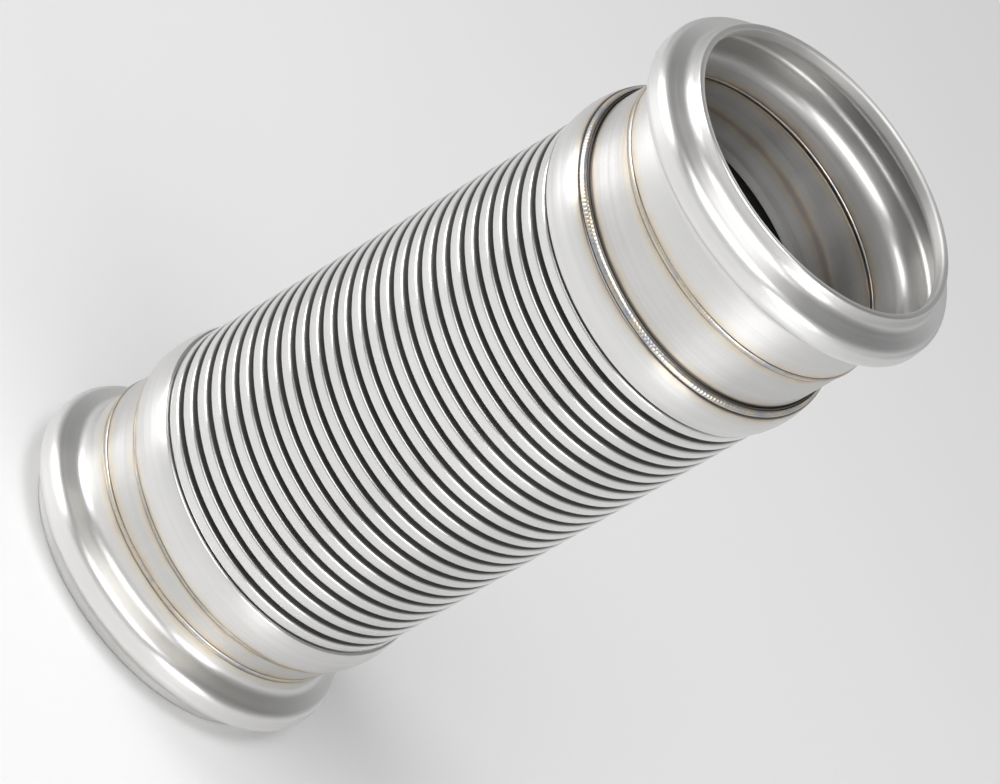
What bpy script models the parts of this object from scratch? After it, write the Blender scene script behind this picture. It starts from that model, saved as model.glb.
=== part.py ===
"""Exhaust flex pipe for a 5 inch truck exhaust.

A thin steel hose, formed into closed rings, joins two beaded tube ends. The two
beads are parallel, and the hose leans between them, so the pipe makes a slight S.
Units are metres. The pipe stands on the rim of its lower flange, with +Z along
both flanges' axes and +X the way that the hose leans.
"""

import math

import bpy
from mathutils import Vector


# Driving dimensions

HOSE_LEAN = math.radians(8.75)    # angle between the hose and the flanges' axes
SEGMENTS = 24                     # flats round every turned piece
OUTER_ARC_STEPS = 3               # flats along a rounded corner of a flange's outside
INNER_ARC_STEPS = 2               # and along one of its bore side
CROWN_STEPS = 6                   # flats along a collar's crown, an even number
MERGE_DISTANCE = 0.00001          # closes the seam of a turned piece
FIT_GAP = 0.0003                  # gap between pieces that are welded or pressed together

SLEEVE_RADIUS = 0.0635            # outside of the 5 inch tube
TUBE_WALL = 0.0015                # wall of the sleeves and flanges

CORRUGATIONS = 27
PITCH = 0.0073                    # from one ring of the hose to the next
CREST_WIDTH = 0.0047              # flat top of a ring
ROOT_WIDTH = 0.0012               # flat bottom of the groove between two rings
CORRUGATION_DEPTH = 0.0033        # from the bottom of a groove to the top of a ring
HOSE_WALL = 0.0006

COLLAR_LENGTH = 0.0166
COLLAR_WALL = 0.0021
COLLAR_CROWN = 0.0012             # rise of the collar's middle over its edges
LOWER_COLLAR_STANDOFF = 0.0006    # from the end ring's edge to the lower collar
UPPER_COLLAR_STANDOFF = 0.0019    # from the end ring's edge to the upper collar
SLEEVE_INSET = 0.0047             # from the collar's inner edge to the sleeve's end
COLLAR_WELD_LENGTH = 0.0025       # along the cuff
COLLAR_WELD_HEIGHT = 0.0017       # up the collar's end face
COLLAR_WELD_BULGE = 0.6           # of its height and length, where 0.5 is a flat face

LOWER_STUB = 0.0186               # bare sleeve from the lower collar to the mitre
UPPER_STUB = 0.0228               # bare sleeve from the upper collar to the mitre
MITRE_WELD_WIDTH = 0.0016
MITRE_WELD_CROWN = 0.0004         # rise of the weld over the tube

LOWER_NECK = 0.0119               # from the lower mitre to the foot of the bead
UPPER_NECK = 0.0144               # from the upper mitre to the foot of the bead
BEAD_HEIGHT = 0.0098              # from the tube's outside to the bead's flat crown
BEAD_TOP_WIDTH = 0.0092           # crown of the bead before its corners are rounded
BEAD_WALL_RUN = 0.0043            # lean of each of the bead's two walls
BEAD_CORNER = 0.0043              # outer radius of the crown's corners
BEAD_FILLET = 0.0042              # outer radius at the feet of both walls
LIP_STEP = 0.0003                 # from the tube's outside to the lip's
LIP_LENGTH = 0.0055               # from the foot of the front wall to the rim
LIP_WALL = 0.0029                 # the lip is upset to about twice the tube's wall
LIP_THROAT = 0.0036               # bore side radius where the front wall meets the lip
RIM_ROUNDING = 0.0010             # rounds both edges of the rim, leaving a flat between


# Sizes that follow from them

BORE_RADIUS = SLEEVE_RADIUS - TUBE_WALL
CUFF_INNER_RADIUS = SLEEVE_RADIUS + FIT_GAP
CUFF_RADIUS = CUFF_INNER_RADIUS + HOSE_WALL
COLLAR_INNER_RADIUS = CUFF_RADIUS + FIT_GAP
COLLAR_EDGE_RADIUS = COLLAR_INNER_RADIUS + COLLAR_WALL
ROOT_RADIUS = BORE_RADIUS + HOSE_WALL
CREST_RADIUS = ROOT_RADIUS + CORRUGATION_DEPTH
BEAD_RADIUS = SLEEVE_RADIUS + BEAD_HEIGHT
LIP_RADIUS = SLEEVE_RADIUS + LIP_STEP
CUTTER_SIZE = 4 * BEAD_RADIUS     # far larger than any piece it cuts

RING_END = (CORRUGATIONS - 1) / 2 * PITCH + CREST_WIDTH / 2
HALF_LEAN = HOSE_LEAN / 2
MITRE_SETBACK = MITRE_WELD_WIDTH / 2 + FIT_GAP

BEAD_LENGTH = BEAD_TOP_WIDTH + 2 * BEAD_WALL_RUN
FLANGE_REACH = BEAD_LENGTH + LIP_LENGTH


class PipeEnd:
    """Places along the hose's axis, measured outward from the hose's middle."""

    def __init__(self, name, side, standoff, stub, neck):
        self.name = name
        self.side = side
        self.collar_start = RING_END + standoff
        self.collar_end = self.collar_start + COLLAR_LENGTH
        self.sleeve_start = self.collar_start + SLEEVE_INSET
        self.cuff_end = self.collar_end + FIT_GAP + COLLAR_WELD_LENGTH
        self.knee = self.collar_end + stub
        self.neck = neck
        self.rim = neck + FLANGE_REACH


LOWER = PipeEnd("lower", -1, LOWER_COLLAR_STANDOFF, LOWER_STUB, LOWER_NECK)
UPPER = PipeEnd("upper", 1, UPPER_COLLAR_STANDOFF, UPPER_STUB, UPPER_NECK)

HOSE_AXIS = Vector((math.sin(HOSE_LEAN), 0, math.cos(HOSE_LEAN)))
MITRE_AXIS = Vector((math.sin(HALF_LEAN), 0, math.cos(HALF_LEAN)))
SIDE_STEP = (LOWER.knee + UPPER.knee) * math.sin(HOSE_LEAN)
LOWER_KNEE = Vector((-SIDE_STEP / 2, 0, LOWER.rim))
HOSE_MIDDLE = LOWER_KNEE + LOWER.knee * HOSE_AXIS
UPPER_KNEE = HOSE_MIDDLE + UPPER.knee * HOSE_AXIS


# Scene, materials and placing

def clear_scene():
    for old in list(bpy.data.objects):
        bpy.data.objects.remove(old, do_unlink=True)


def new_collection(name):
    collection = bpy.data.collections.new(name)
    bpy.context.scene.collection.children.link(collection)
    return collection


def steel(name, colour, roughness):
    material = bpy.data.materials.new(name)
    material.use_nodes = True
    shader = material.node_tree.nodes["Principled BSDF"]
    shader.inputs["Base Color"].default_value = (*colour, 1)
    shader.inputs["Metallic"].default_value = 1
    shader.inputs["Roughness"].default_value = roughness
    return material


def new_empty(name, location, collection):
    empty = bpy.data.objects.new(name, None)
    empty.location = location
    collection.objects.link(empty)
    return empty


def place(obj, parent, location, lean):
    """Put an object at a world place, turned about Y, under an unturned empty."""
    obj.parent = parent
    obj.location = Vector(location) - parent.location
    obj.rotation_euler = (0, lean, 0)


# Turned shapes

def rounded(corners, steps):
    """Replace each corner (radius, height, rounding) of an open outline by an arc."""
    points = [Vector(corners[0][:2])]
    for before, corner, after in zip(corners, corners[1:], corners[2:]):
        here = Vector(corner[:2])
        back = (Vector(before[:2]) - here).normalized()
        ahead = (Vector(after[:2]) - here).normalized()
        rounding = corner[2]
        if rounding == 0:
            points.append(here)
            continue
        half_angle = back.angle(ahead) / 2
        centre = here + (back + ahead).normalized() * rounding / math.sin(half_angle)
        reach = rounding / math.tan(half_angle)
        start = here + back * reach - centre
        turn = start.angle_signed(here + ahead * reach - centre)
        for step in range(steps + 1):
            angle = -turn * step / steps
            swung = Vector((
                start.x * math.cos(angle) - start.y * math.sin(angle),
                start.x * math.sin(angle) + start.y * math.cos(angle),
            ))
            points.append(centre + swung)
    points.append(Vector(corners[-1][:2]))
    return points


def turned(name, outline, material, collection):
    """A ring turned from a closed outline of (radius, height) points.

    The outline runs down the outer side and back up the inner side.
    """
    mesh = bpy.data.meshes.new(name)
    vertices = [(radius, 0, height) for radius, height in outline]
    edges = [(i, (i + 1) % len(vertices)) for i in range(len(vertices))]
    mesh.from_pydata(vertices, edges, [])
    mesh.materials.append(material)
    obj = bpy.data.objects.new(name, mesh)
    collection.objects.link(obj)
    screw = obj.modifiers.new("Turn", "SCREW")
    screw.axis = "Z"
    screw.angle = 2 * math.pi
    screw.steps = SEGMENTS
    screw.render_steps = SEGMENTS
    screw.use_merge_vertices = True
    screw.merge_threshold = MERGE_DISTANCE
    screw.use_smooth_shade = True
    return obj


def outward(outline, side):
    """Turn an outline drawn for the upper end over for the lower one."""
    if side > 0:
        return outline
    return [(radius, -height) for radius, height in reversed(outline)]


def cut_away(obj, name, location, direction, cutters):
    """Remove all of the object that lies beyond a plane, on its direction's side."""
    bpy.ops.mesh.primitive_cube_add(size=CUTTER_SIZE)
    cutter = bpy.context.object
    cutter.name = name
    cutter.location = Vector(location) + direction * CUTTER_SIZE / 2
    cutter.rotation_euler = (0, HALF_LEAN, 0)
    cutter.display_type = "WIRE"
    cutter.hide_render = True
    for collection in list(cutter.users_collection):
        collection.objects.unlink(cutter)
    cutters.objects.link(cutter)
    cut = obj.modifiers.new("Mitre", "BOOLEAN")
    cut.operation = "DIFFERENCE"
    cut.solver = "EXACT"
    cut.object = cutter


# The hose

def hose_outline():
    """Outer side from the upper cuff down over every ring, inner side back up.

    The inner side keeps the wall's thickness: on a flank that leans by an angle a,
    an edge moves along the hose by wall * (1 / cos a - tan a).
    """
    flank_run = (PITCH - CREST_WIDTH - ROOT_WIDTH) / 2
    flank_height = CREST_RADIUS - ROOT_RADIUS
    flank_angle = math.atan2(flank_run, flank_height)
    shift = HOSE_WALL * (1 / math.cos(flank_angle) - math.tan(flank_angle))
    slope = flank_run / flank_height
    crest = CREST_WIDTH / 2
    inner_crest = crest - shift
    inner_crest_radius = CREST_RADIUS - HOSE_WALL
    root_edge = PITCH / 2 - ROOT_WIDTH / 2
    inner_root_edge = root_edge - shift
    foot = crest + (CREST_RADIUS - CUFF_RADIUS) * slope
    inner_foot = inner_crest + (inner_crest_radius - CUFF_INNER_RADIUS) * slope

    outer = [(CUFF_RADIUS, UPPER.cuff_end)]
    inner = [(CUFF_INNER_RADIUS, UPPER.cuff_end)]
    for ring in range(CORRUGATIONS):
        centre = ((CORRUGATIONS - 1) / 2 - ring) * PITCH
        first = ring == 0
        last = ring == CORRUGATIONS - 1
        outer.append((CUFF_RADIUS, centre + foot) if first else (ROOT_RADIUS, centre + root_edge))
        outer.append((CREST_RADIUS, centre + crest))
        outer.append((CREST_RADIUS, centre - crest))
        outer.append((CUFF_RADIUS, centre - foot) if last else (ROOT_RADIUS, centre - root_edge))
        inner.append(
            (CUFF_INNER_RADIUS, centre + inner_foot) if first
            else (BORE_RADIUS, centre + inner_root_edge)
        )
        inner.append((inner_crest_radius, centre + inner_crest))
        inner.append((inner_crest_radius, centre - inner_crest))
        inner.append(
            (CUFF_INNER_RADIUS, centre - inner_foot) if last
            else (BORE_RADIUS, centre - inner_root_edge)
        )
    outer.append((CUFF_RADIUS, -LOWER.cuff_end))
    inner.append((CUFF_INNER_RADIUS, -LOWER.cuff_end))
    return outer + inner[::-1]


# The pieces at each end

def collar_outline(end):
    """A band of even wall, crowned along a parabola."""
    outer = []
    for step in range(CROWN_STEPS + 1):
        along = 1 - 2 * step / CROWN_STEPS
        rise = COLLAR_CROWN * (1 - along * along)
        height = (end.collar_start + end.collar_end) / 2 + along * COLLAR_LENGTH / 2
        outer.append((COLLAR_EDGE_RADIUS + rise, height))
    inner = [(radius - COLLAR_WALL, height) for radius, height in outer[::2]]
    return outer + inner[::-1]


def collar_weld_outline(end):
    """A fillet in the corner of the collar's end face and the cuff."""
    face = end.collar_end + FIT_GAP
    top = COLLAR_INNER_RADIUS + COLLAR_WELD_HEIGHT
    toe = face + COLLAR_WELD_LENGTH
    middle = (
        COLLAR_INNER_RADIUS + COLLAR_WELD_HEIGHT * COLLAR_WELD_BULGE,
        face + COLLAR_WELD_LENGTH * COLLAR_WELD_BULGE,
    )
    return [
        (COLLAR_INNER_RADIUS + FIT_GAP, toe),
        middle,
        (top, face),
        (COLLAR_INNER_RADIUS, face),
        (COLLAR_INNER_RADIUS, toe),
    ]


def mitre_weld_outline():
    """The weld fills the joint from bore to outside, and is crowned outside."""
    half = MITRE_WELD_WIDTH / 2
    return [
        (SLEEVE_RADIUS, half),
        (SLEEVE_RADIUS + MITRE_WELD_CROWN, half / 2),
        (SLEEVE_RADIUS + MITRE_WELD_CROWN, -half / 2),
        (SLEEVE_RADIUS, -half),
        (BORE_RADIUS, -half),
        (BORE_RADIUS, half),
    ]


def flange_outline(end):
    """Neck, bead and lip in section. Heights run from the knee to the rim.

    The bore side is the outer side moved in by the wall, so a corner that is
    rounded by r outside is rounded by r less the wall where it turns outward,
    and by r plus the wall at the foot on the neck. The lip is thicker than that
    wall, and its throat has a radius of its own.
    """
    start = -SLEEVE_RADIUS * math.tan(HOSE_LEAN) - MITRE_WELD_WIDTH
    back_foot = end.neck
    back_top = back_foot + BEAD_WALL_RUN
    front_top = back_top + BEAD_TOP_WIDTH
    front_foot = front_top + BEAD_WALL_RUN
    rim = end.rim

    inner_bead = BEAD_RADIUS - TUBE_WALL
    inner_lip = LIP_RADIUS - LIP_WALL
    back_slope = BEAD_WALL_RUN / (BEAD_RADIUS - SLEEVE_RADIUS)
    front_slope = BEAD_WALL_RUN / (BEAD_RADIUS - LIP_RADIUS)
    back_inset = TUBE_WALL * math.hypot(1, back_slope)
    front_inset = TUBE_WALL * math.hypot(1, front_slope)
    inner_back_foot = back_foot + back_inset - TUBE_WALL * back_slope
    inner_back_top = back_top + back_inset - TUBE_WALL * back_slope
    inner_front_top = front_top - front_inset + TUBE_WALL * front_slope
    inner_front_foot = front_foot - front_inset + LIP_WALL * front_slope

    outer = rounded([
        (LIP_RADIUS - LIP_WALL / 2, rim, 0),
        (LIP_RADIUS, rim, RIM_ROUNDING),
        (LIP_RADIUS, front_foot, BEAD_FILLET),
        (BEAD_RADIUS, front_top, BEAD_CORNER),
        (BEAD_RADIUS, back_top, BEAD_CORNER),
        (SLEEVE_RADIUS, back_foot, BEAD_FILLET),
        (SLEEVE_RADIUS, start, 0),
    ], OUTER_ARC_STEPS)
    inner = rounded([
        (LIP_RADIUS - LIP_WALL / 2, rim, 0),
        (inner_lip, rim, RIM_ROUNDING),
        (inner_lip, inner_front_foot, LIP_THROAT),
        (inner_bead, inner_front_top, BEAD_CORNER - TUBE_WALL),
        (inner_bead, inner_back_top, BEAD_CORNER - TUBE_WALL),
        (BORE_RADIUS, inner_back_foot, BEAD_FILLET + TUBE_WALL),
        (BORE_RADIUS, start, 0),
    ], INNER_ARC_STEPS)
    return outer[1:] + inner[:0:-1]


def sleeve_outline(end):
    """A plain tube from inside the cuff to past the knee, before its mitre cut."""
    overrun = end.knee + SLEEVE_RADIUS * math.tan(HOSE_LEAN) + MITRE_WELD_WIDTH
    return [
        (SLEEVE_RADIUS, overrun),
        (SLEEVE_RADIUS, end.sleeve_start),
        (BORE_RADIUS, end.sleeve_start),
        (BORE_RADIUS, overrun),
    ]


def make_end(end, knee, parent, parts, cutters, finishes):
    """Sleeve, collar, flange and welds of one end of the pipe."""
    way_out = MITRE_AXIS * end.side
    setback = way_out * MITRE_SETBACK

    sleeve = turned(end.name + "_sleeve", outward(sleeve_outline(end), end.side),
                    finishes["sleeve"], parts)
    place(sleeve, parent, HOSE_MIDDLE, HOSE_LEAN)
    cut_away(sleeve, end.name + "_sleeve_cutter", knee - setback, way_out, cutters)

    collar = turned(end.name + "_collar", outward(collar_outline(end), end.side),
                    finishes["collar"], parts)
    place(collar, parent, HOSE_MIDDLE, HOSE_LEAN)

    fillet = turned(end.name + "_collar_weld", outward(collar_weld_outline(end), end.side),
                    finishes["weld"], parts)
    place(fillet, parent, HOSE_MIDDLE, HOSE_LEAN)

    flange = turned(end.name + "_bead_flange", outward(flange_outline(end), end.side),
                    finishes["flange"], parts)
    place(flange, parent, knee, 0)
    cut_away(flange, end.name + "_flange_cutter", knee + setback, -way_out, cutters)

    seam = turned(end.name + "_mitre_weld", mitre_weld_outline(), finishes["weld"], parts)
    place(seam, parent, knee, HALF_LEAN)
    seam.scale = (1 / math.cos(HALF_LEAN), 1, 1)


def main():
    clear_scene()
    parts = new_collection("exhaust_flex_pipe")
    cutters = new_collection("cutters")
    finishes = {
        "flange": steel("flange_steel", (0.60, 0.59, 0.57), 0.32),
        "sleeve": steel("sleeve_steel", (0.62, 0.61, 0.59), 0.28),
        "collar": steel("collar_steel", (0.66, 0.65, 0.63), 0.24),
        "hose": steel("hose_steel", (0.70, 0.69, 0.67), 0.20),
        "weld": steel("weld_steel", (0.45, 0.43, 0.40), 0.42),
    }
    base = new_empty("lower_end", (0, 0, 0), parts)
    flex = new_empty("flex_axis", HOSE_MIDDLE, parts)

    hose = turned("corrugated_hose", hose_outline(), finishes["hose"], parts)
    place(hose, base, HOSE_MIDDLE, HOSE_LEAN)
    make_end(LOWER, LOWER_KNEE, base, parts, cutters, finishes)
    make_end(UPPER, UPPER_KNEE, flex, parts, cutters, finishes)


main()
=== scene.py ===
"""Looks of the exhaust flex pipe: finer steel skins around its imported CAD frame.

Every piece of the pipe is a ring, so each skin is a closed outline of (radius, height)
carried once round an axis. Lengths are metres. Heights on the hose's axis start at the
hose's middle, and heights on a flange's axis start at its knee, the centre of the mitre.
"""
import math

import bpy
import numpy as np
from mathutils import Matrix, Vector


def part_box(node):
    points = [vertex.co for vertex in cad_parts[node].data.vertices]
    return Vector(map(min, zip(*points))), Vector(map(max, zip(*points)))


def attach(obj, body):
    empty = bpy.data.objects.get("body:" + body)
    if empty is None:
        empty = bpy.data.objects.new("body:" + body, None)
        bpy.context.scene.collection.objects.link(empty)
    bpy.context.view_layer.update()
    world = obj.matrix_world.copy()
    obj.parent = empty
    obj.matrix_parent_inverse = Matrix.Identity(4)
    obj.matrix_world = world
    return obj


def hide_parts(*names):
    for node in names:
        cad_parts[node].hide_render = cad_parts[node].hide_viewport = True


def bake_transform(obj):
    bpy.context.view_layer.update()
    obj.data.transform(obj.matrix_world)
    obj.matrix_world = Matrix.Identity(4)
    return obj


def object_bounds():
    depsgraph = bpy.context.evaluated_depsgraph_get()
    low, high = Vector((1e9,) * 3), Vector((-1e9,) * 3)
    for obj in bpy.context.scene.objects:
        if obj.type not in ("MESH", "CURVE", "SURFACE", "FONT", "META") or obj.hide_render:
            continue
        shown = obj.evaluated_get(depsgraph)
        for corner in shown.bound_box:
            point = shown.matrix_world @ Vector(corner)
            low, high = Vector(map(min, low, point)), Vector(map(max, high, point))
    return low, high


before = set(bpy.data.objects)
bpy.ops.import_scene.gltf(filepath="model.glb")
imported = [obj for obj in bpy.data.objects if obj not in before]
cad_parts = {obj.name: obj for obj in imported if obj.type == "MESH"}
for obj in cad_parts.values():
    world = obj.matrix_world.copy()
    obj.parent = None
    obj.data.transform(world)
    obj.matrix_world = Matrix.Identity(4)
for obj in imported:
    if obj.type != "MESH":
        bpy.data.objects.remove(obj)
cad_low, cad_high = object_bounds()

# The hose: one thin-walled stainless tube, laser welded along its length and then bulged
# into 27 closed rings between dies. A plain cuff at each end goes over a sleeve. In the real
# pipe it is the one soft piece; here it is built straight.

HOSE_LEAN = math.radians(8.75)
TUBE_RADIUS = 0.0635
TUBE_WALL = 0.0015
BORE_RADIUS = TUBE_RADIUS - TUBE_WALL
FIT_GAP = 0.0003

RINGS = 27
PITCH = 0.0073
CREST_WIDTH = 0.0047
ROOT_WIDTH = 0.0012
CREST_ROUNDING = 0.0011
ROOT_ROUNDING = 0.0005
ROUNDING_STEPS = 3
HOSE_WALL = 0.0006
HOSE_SEGMENTS = 112

COLLAR_LENGTH = 0.0166
COLLAR_STANDOFF = {"lower": 0.0006, "upper": 0.0019}
COLLAR_WELD_LENGTH = 0.0025
STUB = {"lower": 0.0186, "upper": 0.0228}
NECK = {"lower": 0.0119, "upper": 0.0144}

hose_low, hose_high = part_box("corrugated_hose")
lower_low, lower_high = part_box("lower_bead_flange")
upper_low, upper_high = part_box("upper_bead_flange")

CREST_RADIUS = (hose_high.y - hose_low.y) / 2
CUFF_BORE = TUBE_RADIUS + FIT_GAP
CUFF_RADIUS = CUFF_BORE + HOSE_WALL
ROOT_RADIUS = BORE_RADIUS + HOSE_WALL
RING_END = (RINGS - 1) / 2 * PITCH + CREST_WIDTH / 2
SIDE = {"lower": -1, "upper": 1}
COLLAR_START = {end: RING_END + COLLAR_STANDOFF[end] for end in SIDE}
COLLAR_END = {end: COLLAR_START[end] + COLLAR_LENGTH for end in SIDE}
CUFF_END = {end: COLLAR_END[end] + FIT_GAP + COLLAR_WELD_LENGTH for end in SIDE}
KNEE = {end: COLLAR_END[end] + STUB[end] for end in SIDE}

# The knees come from the flanges' boxes. What the height leaves beside the two knees is
# shared by the flanges, and they differ by their necks alone.
HOSE_AXIS = Vector((math.sin(HOSE_LEAN), 0, math.cos(HOSE_LEAN)))
FLANGE_X = {"lower": (lower_low.x + lower_high.x) / 2, "upper": (upper_low.x + upper_high.x) / 2}
BETWEEN_KNEES = (KNEE["lower"] + KNEE["upper"]) * HOSE_AXIS.z
BOTH_FLANGES = cad_high.z - cad_low.z - BETWEEN_KNEES
NECK_DIFFERENCE = NECK["upper"] - NECK["lower"]
KNEE_POINT = {
    "lower": Vector((FLANGE_X["lower"], 0, (BOTH_FLANGES - NECK_DIFFERENCE) / 2)),
    "upper": Vector((FLANGE_X["upper"], 0, cad_high.z - (BOTH_FLANGES + NECK_DIFFERENCE) / 2)),
}
HOSE_MIDDLE = KNEE_POINT["lower"] + KNEE["lower"] * HOSE_AXIS

HOSE_SEAM_ANGLE = 2.1
HOSE_SEAM_REACH = (0.004, 0.016)
HOSE_GREYS = ((0.66, 0.655, 0.64), (0.86, 0.855, 0.84))
HOSE_SEAM_GREY = (0.60, 0.58, 0.55)
# The groove grey and the two radii after it are painted shade: the flanks' colour is darkened
# where the deep grooves fall into shadow.
GROOVE_PAINTED_SHADE = (0.13, 0.127, 0.124)
GROOVE_SHADE_START = CREST_RADIUS - 0.08 * CREST_ROUNDING
GROOVE_SHADE_FULL = CREST_RADIUS - 0.85 * CREST_ROUNDING
SCALE_GREY = (0.17, 0.155, 0.14)
CUFFS_MIDDLE = (COLLAR_END["upper"] - COLLAR_END["lower"]) / 2
CUFFS_HALF = (COLLAR_END["upper"] + COLLAR_END["lower"]) / 2
RING_SHUFFLE = 12.9898
LINE_DEPTH = 0.00003


def rounded(corners, steps):
    """Points of an outline whose corners (radius, height, rounding) became arcs.

    An arc's centre lies on the line that halves the corner, at rounding / sin(half angle),
    and its points are spaced evenly by angle between the two places where it touches. The
    first and the last corner stay sharp.
    """
    points = [np.array(corners[0][:2])]
    for before, corner, after in zip(corners, corners[1:], corners[2:]):
        here = np.array(corner[:2])
        rounding = corner[2]
        back = np.array(before[:2]) - here
        ahead = np.array(after[:2]) - here
        back = back / np.hypot(*back)
        ahead = ahead / np.hypot(*ahead)
        half_angle = math.acos(np.clip(back @ ahead, -1, 1)) / 2
        halving = (back + ahead) / np.hypot(*(back + ahead))
        centre = here + halving * rounding / math.sin(half_angle)
        reach = rounding / math.tan(half_angle)
        start = here + back * reach - centre
        end = here + ahead * reach - centre
        first = math.atan2(start[1], start[0])
        turn = math.remainder(math.atan2(end[1], end[0]) - first, 2 * math.pi)
        angles = first + turn * np.linspace(0, 1, steps + 1)
        points.extend(centre + rounding * np.stack([np.cos(angles), np.sin(angles)], -1))
    points.append(np.array(corners[-1][:2]))
    return points


def ring_grid(outline, segments, tilt=0.0):
    """Points of an outline carried round the Z axis, as an array (outline, segment, 3).

    A point (r, h) goes to (r cos a, r sin a, h + tilt * r cos a) at the angle a, so a tilt
    leans the ring's plane by that slope towards X, as a mitre cut does.
    """
    outline = np.asarray(outline, float)
    angle = np.linspace(0, 2 * math.pi, segments, endpoint=False)
    radius = outline[:, :1]
    slope = np.broadcast_to(np.asarray(tilt, float), len(outline))[:, None]
    across = radius * np.cos(angle)
    return np.stack([across, radius * np.sin(angle), outline[:, 1:2] + slope * across], -1)


def skin(name, grid, lean, place, material):
    """A closed shell from a grid of points: quads between neighbours, wrapped both ways.

    The grid is turned about Y by the lean and moved to its place. The untouched grid is
    kept as the attribute own_place, which the finishes read in the piece's own axes.
    """
    rows, columns = grid.shape[:2]
    own = grid.reshape(-1, 3)
    cos, sin = math.cos(lean), math.sin(lean)
    turned = np.stack([own[:, 0] * cos + own[:, 2] * sin, own[:, 1],
                       own[:, 2] * cos - own[:, 0] * sin], -1)
    row, column = np.meshgrid(np.arange(rows), np.arange(columns), indexing="ij")
    next_row, next_column = (row + 1) % rows, (column + 1) % columns
    quads = np.stack([row * columns + column, next_row * columns + column,
                      next_row * columns + next_column, row * columns + next_column], -1)
    mesh = bpy.data.meshes.new(name)
    mesh.vertices.add(rows * columns)
    mesh.vertices.foreach_set("co", (turned + np.array(place)).ravel())
    mesh.loops.add(quads.size)
    mesh.loops.foreach_set("vertex_index", quads.ravel())
    mesh.polygons.add(rows * columns)
    mesh.polygons.foreach_set("loop_start", np.arange(0, quads.size, 4))
    mesh.update(calc_edges=True)
    mesh.shade_smooth()
    own_place = mesh.attributes.new("own_place", "FLOAT_VECTOR", "POINT")
    own_place.data.foreach_set("vector", own.ravel())
    mesh.materials.append(material)
    piece = bpy.data.objects.new(name, mesh)
    bpy.context.scene.collection.objects.link(piece)
    return piece


class Value:
    """A number that varies over a surface: arithmetic on it adds Math nodes."""

    def __init__(self, nodes, socket):
        self.nodes = nodes
        self.socket = socket

    def apply(self, operation, *terms):
        """One Math node over these terms."""
        return self.nodes.node("ShaderNodeMath", {"operation": operation},
                               dict(enumerate(terms)))

    def __add__(self, other):
        return self.apply("ADD", self, other)

    def __sub__(self, other):
        return self.apply("SUBTRACT", self, other)

    def __mul__(self, other):
        return self.apply("MULTIPLY", self, other)

    def __truediv__(self, other):
        return self.apply("DIVIDE", self, other)

    def __pow__(self, other):
        return self.apply("POWER", self, other)

    def __rsub__(self, other):
        return self.apply("SUBTRACT", other, self)

    def __abs__(self):
        return self.apply("ABSOLUTE", self)

    __radd__ = __add__
    __rmul__ = __mul__

    def wave(self):
        """Its sine, moved into the range from 0 to 1."""
        return self.apply("SINE", self) * 0.5 + 0.5

    def whole(self):
        """The nearest whole number."""
        return self.apply("ROUND", self)

    def angle_to(self, other):
        """The angle whose tangent is this over the other, all the way round."""
        return self.apply("ARCTAN2", self, other)

    def rising(self, start, end):
        """0 up to start, 1 from end on, smooth between."""
        return self.nodes.node("ShaderNodeMapRange", {"interpolation_type": "SMOOTHSTEP"},
                               {"Value": self, "From Min": start, "From Max": end})

    def falling(self, start, end):
        """1 up to start, 0 from end on, smooth between."""
        return 1 - self.rising(start, end)


class Nodes:
    """The nodes of one tree: a finish's, or those of the air around the pipe."""

    def __init__(self, tree):
        self.tree = tree

    def node(self, kind, settings, sockets, output=0):
        """Add a node, set it up, fill its sockets, and return one of its outputs."""
        node = self.tree.nodes.new(kind)
        for name, setting in settings.items():
            setattr(node, name, setting)
        for name, term in sockets.items():
            if isinstance(term, Value):
                self.tree.links.new(term.socket, node.inputs[name])
            else:
                node.inputs[name].default_value = term
        return Value(self, node.outputs[output])


class Finish(Nodes):
    """A metal finish: a Principled shader and the nodes that vary it.

    Lines that run round a piece spread its reflections along its axis, which is what the
    anisotropy and its quarter turn say.
    """

    def __init__(self, name, anisotropy):
        self.material = bpy.data.materials.new(name)
        self.material.use_nodes = True
        super().__init__(self.material.node_tree)
        self.shader = self.tree.nodes["Principled BSDF"]
        self.shader.inputs["Metallic"].default_value = 1.0
        self.shader.inputs["Anisotropic"].default_value = anisotropy
        self.shader.inputs["Anisotropic Rotation"].default_value = 0.25
        self.own = self.node("ShaderNodeAttribute", {"attribute_name": "own_place"}, {},
                             output="Vector")
        self.x, self.y, self.z = (
            self.node("ShaderNodeSeparateXYZ", {}, {"Vector": self.own}, output=axis)
            for axis in "XYZ")

    def radius(self):
        """Distance from the piece's own axis."""
        return (self.x * self.x + self.y * self.y) ** 0.5

    def around(self):
        """Angle round the piece's own axis, from X towards Y."""
        return self.y.angle_to(self.x)

    def noise(self, stretch, detail=2.0, scale=1.0):
        """Noise from 0 to 1, about stretch * scale waves to the metre along X, Y and Z."""
        stretched = self.node("ShaderNodeVectorMath", {"operation": "MULTIPLY"},
                              {0: self.own, 1: stretch})
        return self.node("ShaderNodeTexNoise", {}, {"Vector": stretched, "Scale": scale,
                                                    "Detail": detail})

    def mixed(self, factor, first, second):
        """A colour between two, by a factor from 0 to 1."""
        colours = [c if isinstance(c, Value) else (*c, 1.0) for c in (first, second)]
        return self.node("ShaderNodeMix", {"data_type": "RGBA"},
                         {0: factor, 6: colours[0], 7: colours[1]}, output=2)

    def set(self, socket, term):
        """Link a term to one of the shader's sockets."""
        self.tree.links.new(term.socket, self.shader.inputs[socket])

    def bump(self, height, depth):
        """Raise the surface by a height from 0 to 1 times a depth in metres."""
        self.set("Normal", self.node("ShaderNodeBump", {},
                                     {"Height": height, "Distance": depth, "Strength": 1.0}))


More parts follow.
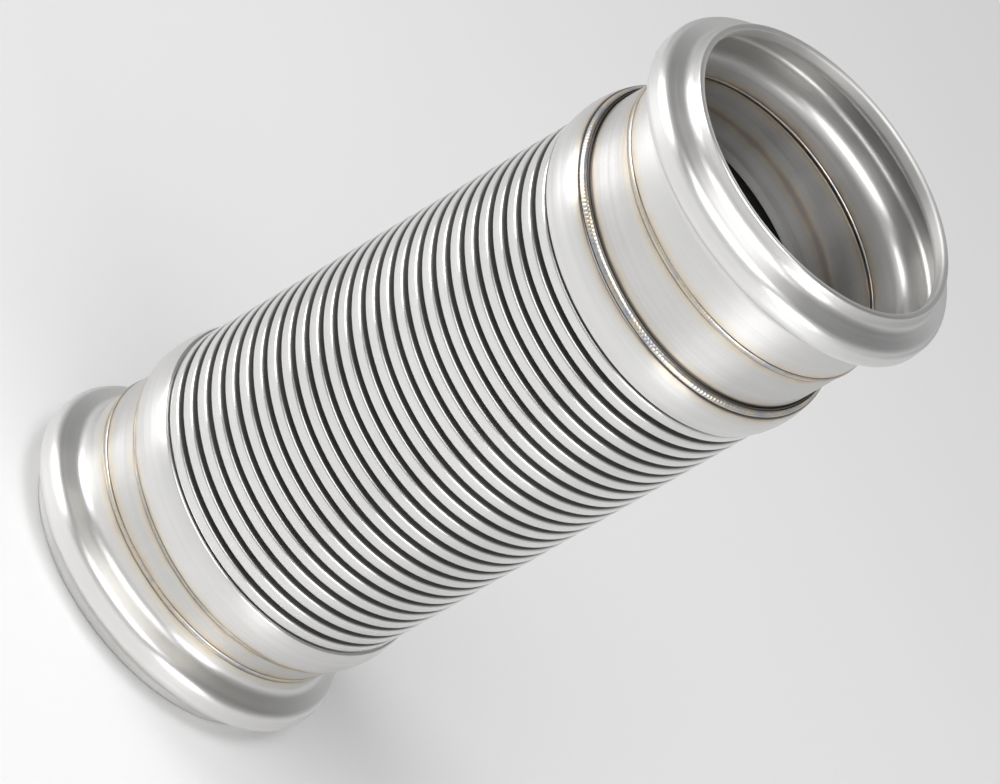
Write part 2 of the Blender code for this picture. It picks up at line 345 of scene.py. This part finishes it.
def hose_outline():
    """The rings from the upper cuff down, outside first, then back up the bore side.

    The bore side keeps the wall's thickness: on a flank that leans by an angle a, an edge
    moves along the hose by wall * (1 / cos a - tan a).
    """
    flank_run = (PITCH - CREST_WIDTH - ROOT_WIDTH) / 2
    slope = flank_run / (CREST_RADIUS - ROOT_RADIUS)
    flank_angle = math.atan(slope)
    shift = HOSE_WALL * (1 / math.cos(flank_angle) - math.tan(flank_angle))

    def side(cuff, crest, root, crest_half, root_half, crest_rounding, root_rounding):
        foot = crest_half + (crest - cuff) * slope
        corners = [(cuff, CUFF_END["upper"], 0)]
        for ring in range(RINGS):
            centre = ((RINGS - 1) / 2 - ring) * PITCH
            above = (cuff, centre + foot) if ring == 0 else (root, centre + root_half)
            below = (cuff, centre - foot) if ring == RINGS - 1 else (root, centre - root_half)
            corners.append((*above, root_rounding))
            corners.append((crest, centre + crest_half, crest_rounding))
            corners.append((crest, centre - crest_half, crest_rounding))
            corners.append((*below, root_rounding))
        corners.append((cuff, -CUFF_END["lower"], 0))
        return rounded(corners, ROUNDING_STEPS)

    crest_half = CREST_WIDTH / 2
    root_half = (PITCH - ROOT_WIDTH) / 2
    outer = side(CUFF_RADIUS, CREST_RADIUS, ROOT_RADIUS, crest_half, root_half,
                 CREST_ROUNDING, ROOT_ROUNDING)
    inner = side(CUFF_BORE, CREST_RADIUS - HOSE_WALL, BORE_RADIUS, crest_half - shift,
                 root_half - shift, CREST_ROUNDING - HOSE_WALL, ROOT_ROUNDING + HOSE_WALL)
    return outer + inner[::-1]


def hose_finish():
    """Bright strip: each ring a touch different, drawn lines round it, a seam along it.

    The flanks are painted darker from near the edge of the crest down: painted shade of the
    narrow deep grooves. Past the collars the cuffs carry the dark scale of the welds.
    """
    finish = Finish("hose_steel", 0.4)
    ring = (finish.z / PITCH).whole()
    ring_tone = (ring * RING_SHUFFLE).wave()
    lines = finish.noise((14, 14, 1500), 4.0)
    mottle = finish.noise((1, 1, 1), 3.0, scale=160.0)
    # Painted shade: this mask darkens the groove flanks' colour towards the groove grey, and
    # also makes them rougher.
    groove_painted_shade = finish.radius().falling(GROOVE_SHADE_FULL, GROOVE_SHADE_START)
    under_weld = abs(finish.z - CUFFS_MIDDLE).rising(CUFFS_HALF, CUFFS_HALF + FIT_GAP)
    on_seam = abs(finish.around() - HOSE_SEAM_ANGLE).falling(*HOSE_SEAM_REACH)
    colour = finish.mixed(lines * 0.55 + mottle * 0.25 + ring_tone * 0.20, *HOSE_GREYS)
    colour = finish.mixed(groove_painted_shade * 0.87, colour, GROOVE_PAINTED_SHADE)
    colour = finish.mixed(under_weld * 0.8, colour, SCALE_GREY)
    finish.set("Base Color", finish.mixed(on_seam * 0.5, colour, HOSE_SEAM_GREY))
    finish.set("Roughness", mottle * 0.10 + lines * 0.10 + ring_tone * 0.03 + groove_painted_shade * 0.17
               + on_seam * 0.10 + 0.13)
    finish.bump(lines * 0.7 + mottle * 0.5 + on_seam * 1.5, LINE_DEPTH)
    return finish.material


hose = skin("hose_skin", ring_grid(hose_outline(), HOSE_SEGMENTS), HOSE_LEAN, HOSE_MIDDLE,
            hose_finish())
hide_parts("corrugated_hose")
tuple(HOSE_MIDDLE - COLLAR_START["lower"] * HOSE_AXIS)
tuple(HOSE_MIDDLE + COLLAR_START["upper"] * HOSE_AXIS)
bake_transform(hose)

# The sleeves: bare stubs of welded 5 inch stainless tube. The hose's cuff is pressed over
# the inner end, and the outer end is sawn to a mitre, where the flange is butt welded on.

SLEEVE_INSET = 0.0047
SLEEVE_EDGE = 0.0003
EDGE_STEPS = 4
MITRE_WELD_WIDTH = 0.0016
HALF_LEAN = HOSE_LEAN / 2
MITRE_SETBACK = MITRE_WELD_WIDTH / 2 + FIT_GAP
TUBE_SEGMENTS = 192
LONG_RUN = 0.0030
BRACE_GAP = 0.0006

SLEEVE_GREYS = ((0.52, 0.515, 0.50), (0.82, 0.815, 0.80))
SLEEVE_SEAM_ANGLE = 1.3
SLEEVE_SEAM_REACH = (0.010, 0.022)
SLEEVE_SEAM_GREY = (0.58, 0.565, 0.54)
SEAM_RIPPLE_PER_METRE = 5200
BORE_START = BORE_RADIUS + 0.0009
BORE_FULL = BORE_RADIUS + 0.0003
STRAW = (0.74, 0.60, 0.36)
BROWN = (0.46, 0.30, 0.20)
BLUE = (0.26, 0.32, 0.46)
SCALE_FADE = 0.0007
MITRE_HEAT = {"reach": 0.0060, "toe": 0.0010}
# At this weld the toe's dark line is set wide. On the sleeve beside the collar's edge it is
# partly real weld scale and partly painted shade of the collar's edge.
CUFF_HEAT = {"reach": 0.0050, "toe": 0.0008}


def braced(points):
    """The same outline with a point set in at both ends of each long straight run.

    Smooth shading then turns only over the gap, and the run itself stays straight.
    """
    here = np.asarray(points, float)
    ahead = np.roll(here, -1, 0)
    length = np.hypot(*(ahead - here).T)
    inset = (ahead - here) * (BRACE_GAP / length)[:, None]
    is_long = length > LONG_RUN
    kept = np.stack([np.full(len(here), True), is_long, is_long], 1)
    return np.stack([here, here + inset, ahead - inset], 1)[kept]


def sleeve_grid(end):
    """A tube with softened edges, its outer end cut by the plane of the mitre.

    On the hose's axis that plane is z = side * (knee - setback / cos h) + x tan h, where
    h is half the lean, so the rows at that end are tilted by tan h.
    """
    side = SIDE[end]
    cut = side * (KNEE[end] - MITRE_SETBACK / math.cos(HALF_LEAN))
    start = side * (COLLAR_START[end] + SLEEVE_INSET)
    middle_radius = TUBE_RADIUS - TUBE_WALL / 2
    outer = rounded([(middle_radius, cut, 0), (TUBE_RADIUS, cut, SLEEVE_EDGE),
                     (TUBE_RADIUS, start, SLEEVE_EDGE), (middle_radius, start, 0)], EDGE_STEPS)
    inner = rounded([(middle_radius, start, 0), (BORE_RADIUS, start, SLEEVE_EDGE),
                     (BORE_RADIUS, cut, SLEEVE_EDGE), (middle_radius, cut, 0)], EDGE_STEPS)
    outline = braced(outer[:-1] + inner[:-1])
    near_cut = np.abs(outline[:, 1] - cut) < np.abs(outline[:, 1] - start)
    tilt = np.where(near_cut, math.tan(HALF_LEAN), 0.0)
    if side < 0:
        outline, tilt = outline[::-1], tilt[::-1]
    return ring_grid(outline, TUBE_SEGMENTS, tilt)


def in_bore(finish):
    """1 on the surfaces that face the bore, 0 on the outside."""
    return finish.radius().falling(BORE_FULL, BORE_START)


def heat_film(finish, colour, distance, reach, toe):
    """The straw, brown and blue film that welding leaves, by distance from the weld.

    Its edge wanders by about a third of its reach either way. On the outside, a line of
    dark scale runs along the weld's toe; where the toe is set wide, as beside the collar's edge,
    that dark line is partly painted shade.
    """
    wander = finish.noise((1, 1, 1), scale=90.0) * (0.7 * reach) - 0.35 * reach
    at_toe = distance.falling(toe, toe + SCALE_FADE) * (1 - in_bore(finish))
    distance = distance + wander
    straw = finish.mixed(distance.falling(0.2 * reach, reach) * 0.38, colour, STRAW)
    brown = finish.mixed(distance.falling(0.1 * reach, 0.55 * reach) * 0.32, straw, BROWN)
    blue = finish.mixed(distance.falling(0.0, 0.3 * reach) * 0.35, brown, BLUE)
    return finish.mixed(at_toe * 0.8, blue, SCALE_GREY)


def sleeve_finish(end):
    """Polished tube: lines round it over faint drawn ones, its seam, heat film at each weld."""
    finish = Finish(end + "_sleeve_steel", 0.75)
    side = SIDE[end]
    drawn = finish.noise((1300, 1300, 14), 3.0)
    polish = finish.noise((8, 8, 700), 5.0)
    mottle = finish.noise((1, 1, 1), 4.0, scale=70.0)
    on_seam = abs(finish.around() - SLEEVE_SEAM_ANGLE).falling(*SLEEVE_SEAM_REACH)
    seam_ripple = (finish.z * SEAM_RIPPLE_PER_METRE).wave()
    from_mitre = KNEE[end] - (finish.z - finish.x * math.tan(HALF_LEAN)) * side
    from_cuff_end = abs(finish.z * side - CUFF_END[end])
    colour = finish.mixed(drawn * 0.12 + polish * 0.53 + mottle * 0.35, *SLEEVE_GREYS)
    colour = finish.mixed(on_seam * 0.35, colour, SLEEVE_SEAM_GREY)
    colour = heat_film(finish, colour, from_mitre, **MITRE_HEAT)
    # The dark line at the collar weld's toe is partly weld scale and partly painted shade of the
    # collar's edge.
    finish.set("Base Color", heat_film(finish, colour, from_cuff_end, **CUFF_HEAT))
    finish.set("Roughness", mottle * 0.14 + drawn * 0.03 + polish * 0.17 + in_bore(finish) * 0.20
               + 0.22)
    finish.bump(drawn * 0.15 + polish * 1.4 + mottle * 1.2 + on_seam * (seam_ripple * 0.8 + 2.4),
                LINE_DEPTH)
    return finish.material


for end in SIDE:
    sleeve = skin(end + "_sleeve_skin", sleeve_grid(end), HOSE_LEAN, HOSE_MIDDLE,
                  sleeve_finish(end))
    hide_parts(end + "_sleeve")
    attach(sleeve, end + "_end")

# The collars: bands of 2 mm stainless, rolled to a low crown and pressed over the cuffs to
# hold the thin hose to the sleeve. Rolling leaves fine lines round them.

COLLAR_WALL = 0.0021
COLLAR_CROWN = 0.0012
COLLAR_EDGE = 0.0005
COLLAR_BORE = CUFF_RADIUS + FIT_GAP
COLLAR_EDGE_STEPS = 6
CROWN_STEPS = 26
COLLAR_GREYS = ((0.60, 0.595, 0.58), (0.90, 0.895, 0.88))
COLLAR_HEAT = {"reach": 0.0040, "toe": 0.0002}


def collar_outline(end):
    """Crowned along a parabola, rise = crown * (1 - t * t), with rounded edges.

    Near an edge the outside also drops along a circle of the edge's rounding.
    """
    half = COLLAR_LENGTH / 2
    centre = SIDE[end] * (COLLAR_START[end] + half)
    plain = half - COLLAR_EDGE
    curved = plain + COLLAR_EDGE * np.sin(np.linspace(0, math.pi / 2, COLLAR_EDGE_STEPS + 1))[1:]
    along = np.concatenate([curved[::-1], np.linspace(plain, -plain, CROWN_STEPS), -curved])
    over = np.clip(np.abs(along) - plain, 0, COLLAR_EDGE)
    drop = COLLAR_EDGE - np.sqrt(COLLAR_EDGE ** 2 - over ** 2)
    rise = COLLAR_CROWN * (1 - (along / half) ** 2)
    outer = np.stack([COLLAR_BORE + COLLAR_WALL + rise - drop, centre + along], -1)
    inner = np.stack([COLLAR_BORE + rise + drop, centre + along], -1)
    return np.concatenate([outer, inner[::-1]])


def collar_finish(end):
    """Rolled band: fine lines and broad bands round it, a thin heat film at its weld."""
    finish = Finish(end + "_collar_steel", 0.75)
    lines = finish.noise((9, 9, 900), 5.0)
    bands = finish.noise((4, 4, 300))
    mottle = finish.noise((1, 1, 1), 4.0, scale=55.0)
    from_weld = COLLAR_END[end] - finish.z * SIDE[end]
    colour = finish.mixed(lines * 0.45 + bands * 0.30 + mottle * 0.25, *COLLAR_GREYS)
    finish.set("Base Color", heat_film(finish, colour, from_weld, **COLLAR_HEAT))
    finish.set("Roughness", lines * 0.14 + bands * 0.12 + mottle * 0.08 + 0.15)
    finish.bump(lines * 1.2 + bands * 1.0 + mottle * 1.2, LINE_DEPTH)
    return finish.material


for end in SIDE:
    collar = skin(end + "_collar_skin", ring_grid(collar_outline(end), TUBE_SEGMENTS),
                  HOSE_LEAN, HOSE_MIDDLE, collar_finish(end))
    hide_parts(end + "_collar")
    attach(collar, end + "_end")

# The collar welds: a fillet run by hand in one turn round the collar's outer edge. It joins
# collar, cuff and sleeve, and its ripples bow back from the way that the torch went.

COLLAR_WELD_HEIGHT = 0.0017
COLLAR_WELD_SWELL = 0.00042
COLLAR_WELD_SEGMENTS = 1750
COLLAR_RIPPLES = 250
COLLAR_RIPPLE_DEPTH = 0.00013
TOE_LIFT = 0.0001
TOE_INSET = 0.00025
TOE_WANDER = (0.00010, 0.00006)
LEG_STEP = 0.0006
WELD_POINTS = 13
WELD_START = 2.4
RIPPLE_BOW = 2.1
RIPPLE_SKEW = 0.55
RESTART_HUMP = 1.6
RESTART_WIDTH = 0.035
WELD_GREYS = ((0.42, 0.405, 0.38), (0.62, 0.60, 0.57))
SCALE_DEPTH = 0.00005


def rippled(angle, across, ripples, start_angle):
    """Height from 0 to 1 of a weld's ripples, over angle and the place across the bead.

    Each ripple is a skewed wave, whose phase lags by the square of the distance from the
    bead's middle, so that its front is a crescent. Slow waves vary its pace and height,
    and the run ends in a hump over its own start.
    """
    pace = 0.35 * np.sin(7 * angle + 1.0) + 0.25 * np.sin(16 * angle)
    phase = ripples * angle + RIPPLE_BOW * across ** 2 + pace
    wave = 0.5 + 0.5 * np.sin(phase + RIPPLE_SKEW * np.sin(phase))
    strength = 0.8 + 0.2 * np.sin(11 * angle + 2.0)
    apart = np.remainder(angle - start_angle + math.pi, 2 * math.pi) - math.pi
    hump = RESTART_HUMP * np.exp(-(apart / RESTART_WIDTH) ** 2)
    return (wave * strength + hump) * (1 - across ** 2)


def closed_by(legs, radius, along):
    """A weld's face with the straight legs under it added, each at one radius and height."""
    turns = radius.shape[1]
    legs = np.array(legs)
    radius = np.concatenate([radius, np.repeat(legs[:, :1], turns, 1)])
    along = np.concatenate([along, np.repeat(legs[:, 1:], turns, 1)])
    return radius, along


def collar_weld_grid(end):
    """A convex fillet whose face swells by sin(pi t) between its two toes.

    The face goes from the toe on the cuff to the toe on the collar. Ripples add height
    along the outward diagonal, and the two legs close the ring under it.
    """
    side = SIDE[end]
    face = COLLAR_END[end] + FIT_GAP
    angle = np.linspace(0, 2 * math.pi, COLLAR_WELD_SEGMENTS, endpoint=False)
    t = np.linspace(0, 1, WELD_POINTS)[:, None]
    swell = COLLAR_WELD_SWELL * np.sin(math.pi * t)
    height = COLLAR_RIPPLE_DEPTH * rippled(angle, 2 * t - 1, COLLAR_RIPPLES, WELD_START)
    wander = TOE_WANDER[0] * np.sin(5 * angle + 1.0) + TOE_WANDER[1] * np.sin(13 * angle)
    out = (swell + height) * math.sqrt(0.5)
    radius = COLLAR_BORE + TOE_LIFT + (COLLAR_WELD_HEIGHT - TOE_LIFT) * t + out
    along = face + (COLLAR_WELD_LENGTH - TOE_INSET + wander) * (1 - t) + out * (1 - t)
    radius, along = closed_by([(COLLAR_BORE + LEG_STEP, face), (COLLAR_BORE, face),
                               (COLLAR_BORE, face + COLLAR_WELD_LENGTH / 2)], radius, along)
    grid = np.stack([radius * np.cos(angle), radius * np.sin(angle), side * along], -1)
    return grid[::-1] if side < 0 else grid


def weld_finish(name):
    """Weld metal: duller than the tube, straw and blue in patches, with fine scale."""
    finish = Finish(name, 0.0)
    film = finish.noise((1, 1, 1), 3.0, scale=130.0)
    grain = finish.noise((1, 1, 1), 2.0, scale=900.0)
    colour = finish.mixed(grain, *WELD_GREYS)
    colour = finish.mixed(film.falling(0.40, 0.56) * 0.40, colour, STRAW)
    colour = finish.mixed(film.rising(0.54, 0.66) * 0.35, colour, BLUE)
    finish.set("Base Color", colour)
    finish.set("Roughness", grain * 0.16 + film * 0.14 + 0.18)
    finish.bump(grain, SCALE_DEPTH)
    return finish.material


for end in SIDE:
    fillet = skin(end + "_collar_weld_skin", collar_weld_grid(end), HOSE_LEAN, HOSE_MIDDLE,
                  weld_finish(end + "_collar_weld_steel"))
    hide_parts(end + "_collar_weld")
    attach(fillet, end + "_end")

# The bead flanges: the same tube as the sleeves, cut to the mitre, rolled out into a
# hollow bead for a band clamp, with a thickened lip in front that seats on the next pipe.

BEAD_RADIUS = (lower_high.y - lower_low.y) / 2
BEAD_TOP_WIDTH = 0.0092
BEAD_WALL_RUN = 0.0043
BEAD_CORNER = 0.0043
BEAD_FILLET = 0.0042
LIP_RADIUS = 0.0638
LIP_LENGTH = 0.0055
LIP_WALL = 0.0029
LIP_THROAT = 0.0036
RIM_ROUNDING = 0.0010
ARC_STEPS = 9
FLANGE_GREYS = ((0.62, 0.615, 0.60), (0.86, 0.855, 0.84))
PRESSED_GREY = (0.90, 0.895, 0.88)
PRESSED_DEPTH = 0.0018


def flange_grid(end):
    """Neck, bead and lip in section, with heights from the knee to the rim.

    The bore side is the outer side moved in by the wall, so an outer rounding r becomes
    r less the wall on the crown and r plus the wall at the neck. The lip is thicker, and
    its throat has a rounding of its own. The neck's end lies in the mitre's plane,
    z = side * setback / cos h - x tan h on the flange's axis.
    """
    side = SIDE[end]
    cut = MITRE_SETBACK / math.cos(HALF_LEAN)
    back_foot = NECK[end]
    back_top = back_foot + BEAD_WALL_RUN
    front_top = back_top + BEAD_TOP_WIDTH
    front_foot = front_top + BEAD_WALL_RUN
    rim = front_foot + LIP_LENGTH
    back_slope = BEAD_WALL_RUN / (BEAD_RADIUS - TUBE_RADIUS)
    front_slope = BEAD_WALL_RUN / (BEAD_RADIUS - LIP_RADIUS)
    back_inset = TUBE_WALL * (math.hypot(1, back_slope) - back_slope)
    front_inset = TUBE_WALL * math.hypot(1, front_slope)
    inner_bead = BEAD_RADIUS - TUBE_WALL
    inner_lip = LIP_RADIUS - LIP_WALL
    lip_middle = LIP_RADIUS - LIP_WALL / 2
    neck_middle = TUBE_RADIUS - TUBE_WALL / 2
    outer = rounded([
        (lip_middle, rim, 0),
        (LIP_RADIUS, rim, RIM_ROUNDING),
        (LIP_RADIUS, front_foot, BEAD_FILLET),
        (BEAD_RADIUS, front_top, BEAD_CORNER),
        (BEAD_RADIUS, back_top, BEAD_CORNER),
        (TUBE_RADIUS, back_foot, BEAD_FILLET),
        (TUBE_RADIUS, cut, SLEEVE_EDGE),
        (neck_middle, cut, 0),
    ], ARC_STEPS)
    inner = rounded([
        (neck_middle, cut, 0),
        (BORE_RADIUS, cut, SLEEVE_EDGE),
        (BORE_RADIUS, back_foot + back_inset, BEAD_FILLET + TUBE_WALL),
        (inner_bead, back_top + back_inset, BEAD_CORNER - TUBE_WALL),
        (inner_bead, front_top - front_inset + TUBE_WALL * front_slope, BEAD_CORNER - TUBE_WALL),
        (inner_lip, front_foot - front_inset + LIP_WALL * front_slope, LIP_THROAT),
        (inner_lip, rim, RIM_ROUNDING),
        (lip_middle, rim, 0),
    ], ARC_STEPS)
    outline = braced(outer[:-1] + inner[:-1]) * (1, side)
    near_cut = np.abs(outline[:, 1]) < cut + SLEEVE_EDGE + 2 * BRACE_GAP
    tilt = np.where(near_cut, -math.tan(HALF_LEAN), 0.0)
    if side < 0:
        outline, tilt = outline[::-1], tilt[::-1]
    return ring_grid(outline, TUBE_SEGMENTS, tilt)


def flange_finish(end):
    """Rolled tube: lines left by the rolls, brighter where they pressed, film at the weld."""
    finish = Finish(end + "_flange_steel", 0.6)
    side = SIDE[end]
    lines = finish.noise((10, 10, 1500), 4.0)
    bands = finish.noise((6, 6, 380))
    mottle = finish.noise((1, 1, 1), 4.0, scale=48.0)
    below_crown = finish.radius().falling(BEAD_RADIUS - PRESSED_DEPTH, BEAD_RADIUS)
    from_mitre = finish.z * side + finish.x * (math.tan(HALF_LEAN) * side)
    colour = finish.mixed(lines * 0.40 + bands * 0.25 + mottle * 0.35, *FLANGE_GREYS)
    colour = finish.mixed((1 - below_crown) * 0.30, colour, PRESSED_GREY)
    finish.set("Base Color", heat_film(finish, colour, from_mitre, **MITRE_HEAT))
    finish.set("Roughness", lines * 0.14 + bands * 0.12 + mottle * 0.12 + below_crown * 0.04
               + in_bore(finish) * 0.20 + 0.15)
    finish.bump(lines * 1.3 + bands * 1.2 + mottle * 1.0, LINE_DEPTH)
    return finish.material


for end in SIDE:
    flange = skin(end + "_bead_flange_skin", flange_grid(end), 0.0, KNEE_POINT[end],
                  flange_finish(end))
    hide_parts(end + "_bead_flange")
    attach(flange, end + "_end")

# The mitre welds: a butt weld through the wall where the sleeve meets the flange's neck,
# low and narrow, rippled outside and flush in the bore.

MITRE_WELD_CROWN = 0.0003
MITRE_WELD_SEGMENTS = 1980
MITRE_WELD_START = WELD_START + 1.3
MITRE_RIPPLES = 330
MITRE_RIPPLE_DEPTH = 0.00009
MITRE_TOE_LIFT = 0.00002
MITRE_TOE_REACH = 0.00025
MITRE_WANDER = (0.00007, 0.00004)
MITRE_LEG_INSET = 0.0003


def mitre_weld_grid():
    """A bead whose outside is a low arch, crown * (1 - t * t), plus ripples.

    The ring lies in the mitre's plane, and both tubes meet it at half the lean, so its
    radius grows by 1 / cos h along X.
    """
    half = MITRE_WELD_WIDTH / 2 + MITRE_TOE_REACH
    leg = half - MITRE_LEG_INSET
    wall_middle = TUBE_RADIUS - TUBE_WALL / 2
    angle = np.linspace(0, 2 * math.pi, MITRE_WELD_SEGMENTS, endpoint=False)
    t = np.linspace(1, -1, WELD_POINTS)[:, None]
    wander = MITRE_WANDER[0] * np.sin(6 * angle) + MITRE_WANDER[1] * np.sin(17 * angle + 2.0)
    ripple = MITRE_RIPPLE_DEPTH * rippled(angle, t, MITRE_RIPPLES, MITRE_WELD_START)
    outside = TUBE_RADIUS + MITRE_TOE_LIFT + MITRE_WELD_CROWN * (1 - t * t) + ripple
    radius, along = closed_by([(wall_middle, -leg), (BORE_RADIUS, -leg), (BORE_RADIUS, leg),
                               (wall_middle, leg)], outside, t * half + wander)
    return np.stack([radius * np.cos(angle) / math.cos(HALF_LEAN), radius * np.sin(angle),
                     along], -1)


for end in SIDE:
    seam = skin(end + "_mitre_weld_skin", mitre_weld_grid(), HALF_LEAN, KNEE_POINT[end],
                weld_finish(end + "_mitre_weld_steel"))
    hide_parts(end + "_mitre_weld")
    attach(seam, end + "_end")

# The studio: a pale floor, pale air that darkens upwards, one large soft lamp, a weaker one
# across from it and a lamp overhead that looks into the port. The drawing is a parallel
# projection, so the camera stands far off with a long lens, and it is rolled to match.

FLOOR_HALF = 15.0
FLOOR_LEVEL = -0.0002
FLOOR_WHITE = (0.92, 0.92, 0.92, 1.0)
AIR_WHITE = (0.985, 0.985, 1.0, 1.0)
AIR_ABOVE = 0.23
AIR_AT_HORIZON = 0.81
AIR_CLEARS_AT = 0.8
IMAGE_WIDTH = 0.3666
CAMERA_LENS = 1000.0
SENSOR_WIDTH = 36.0
AIM_RIGHT = 0.00625
AIM_UP = -0.00388

floor_mesh = bpy.data.meshes.new("studio_floor")
floor_corners = [(FLOOR_HALF * x, FLOOR_HALF * y, FLOOR_LEVEL)
                 for x, y in ((-1, -1), (1, -1), (1, 1), (-1, 1))]
floor_mesh.from_pydata(floor_corners, [], [(0, 1, 2, 3)])
floor = bpy.data.objects.new("studio_floor", floor_mesh)
bpy.context.scene.collection.objects.link(floor)
floor_paint = bpy.data.materials.new("floor_paint")
floor_paint.use_nodes = True
floor_shader = floor_paint.node_tree.nodes["Principled BSDF"]
floor_shader.inputs["Base Color"].default_value = FLOOR_WHITE
floor_shader.inputs["Roughness"].default_value = 0.8
floor_shader.inputs["Specular IOR Level"].default_value = 0.1
floor_mesh.materials.append(floor_paint)


def lamp(name, place, size, power):
    """A square soft lamp at a place, turned to face the middle of the hose."""
    light = bpy.data.lights.new(name, "AREA")
    light.size = size
    light.energy = power
    holder = bpy.data.objects.new(name, light)
    holder.location = place
    holder.rotation_euler = (HOSE_MIDDLE - Vector(place)).to_track_quat("-Z", "Y").to_euler()
    bpy.context.scene.collection.objects.link(holder)


lamp("key_lamp", (-1.6, -2.0, 0.85), size=1.5, power=38.0)
lamp("fill_lamp", (1.9, 0.3, 0.55), size=0.95, power=12.5)
lamp("port_lamp", (0.40, -0.45, 1.6), size=1.25, power=16.5)

world = bpy.data.worlds.new("studio_air")
world.use_nodes = True
air = Nodes(world.node_tree)
direction = air.node("ShaderNodeTexCoord", {}, {}, output="Generated")
height = air.node("ShaderNodeSeparateXYZ", {}, {"Vector": direction}, output="Z")
haze = height.falling(0.0, AIR_CLEARS_AT) ** 2
level = AIR_ABOVE + (AIR_AT_HORIZON - AIR_ABOVE) * haze
background = world.node_tree.nodes["Background"]
background.inputs["Color"].default_value = AIR_WHITE
air.tree.links.new(level.socket, background.inputs["Strength"])
bpy.context.scene.world = world

side_axis = Vector((HOSE_AXIS.z, 0, -HOSE_AXIS.x))
depth_axis = Vector((0, 1, 0))
camera_right = (HOSE_AXIS + depth_axis).normalized()
camera_back = (HOSE_AXIS - depth_axis + side_axis).normalized()
camera_up = camera_back.cross(camera_right)
camera = bpy.data.cameras.new("camera")
camera.lens = CAMERA_LENS
camera.sensor_width = SENSOR_WIDTH
camera_holder = bpy.data.objects.new("camera", camera)
bpy.context.scene.collection.objects.link(camera_holder)
aim = HOSE_MIDDLE + AIM_RIGHT * camera_right + AIM_UP * camera_up
distance = IMAGE_WIDTH * CAMERA_LENS / SENSOR_WIDTH
camera.clip_end = 4 * distance
place = aim + distance * camera_back
turn = Matrix((camera_right, camera_up, camera_back)).transposed()
camera_holder.matrix_world = Matrix.Translation(place) @ turn.to_4x4()
bpy.context.scene.camera = camera_holder
bpy.context.scene.view_settings.view_transform = "Standard"
